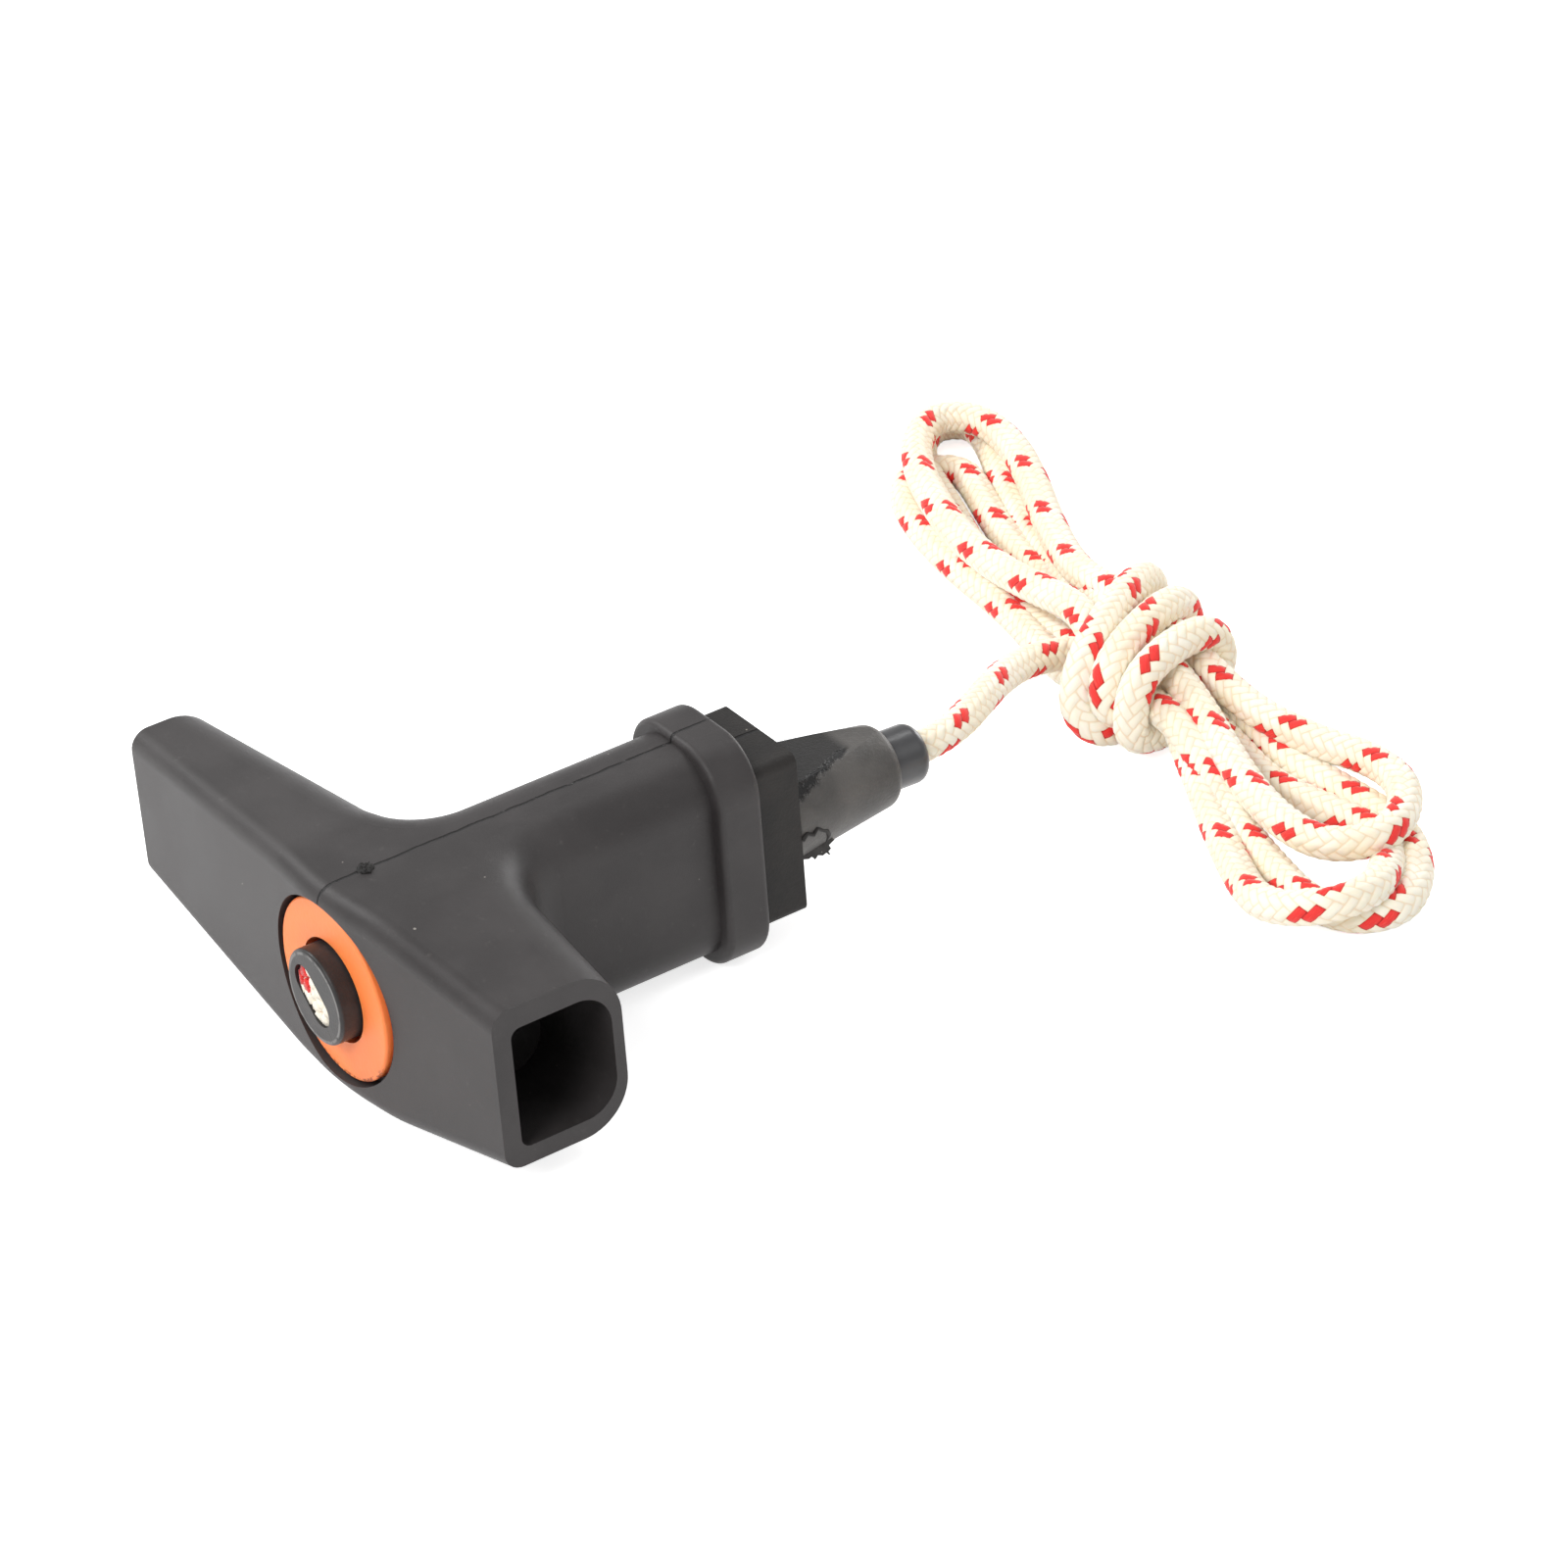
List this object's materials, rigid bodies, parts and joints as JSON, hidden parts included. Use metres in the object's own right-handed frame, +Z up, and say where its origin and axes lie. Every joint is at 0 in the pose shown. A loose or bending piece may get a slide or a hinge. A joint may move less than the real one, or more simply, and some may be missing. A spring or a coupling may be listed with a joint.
{
  "type": "recoil starter handle",
  "caption": "T-shaped pull handle with hollow arms, a damped rope anchor in an orange guide ring, a rubber nose, and its braided starter rope tied in a hank",
  "frame": {"origin": "centre of the handle's footprint on the surface it lies on, measured without the rope", "axes": "+X along the rope from the crossbar to the nose, +Y along the long arm, +Z up from the surface"},
  "size_m": [0.1739, 0.1586, 0.0344],
  "materials": {
    "grip_plastic": "fine grained black",
    "ring_plastic": "satin orange",
    "anchor_plastic": "smooth black",
    "damper_rubber": "soft black",
    "nose_rubber": "moulded black",
    "bush_plastic": "glossy black",
    "rope": "braided cream with red flecks"
  },
  "bodies": {
    "handle": {"grip": "grip_plastic", "guide_ring": "ring_plastic", "damper_sleeve": "damper_rubber", "nose_guide": "nose_rubber", "nose_bush": "bush_plastic"},
    "rope": {"rope_anchor": "anchor_plastic", "rope_end": "rope", "rope_lead": "rope", "rope_hank": "rope"}
  },
  "joints": [
    {"name": "damper_slide", "type": "slide", "parent": "handle", "child": "rope", "axis": [1, 0, 0], "range_m": [0, 0.006], "stiffness_N_per_m": 3000, "deforming": ["damper_sleeve"]}
  ]
}
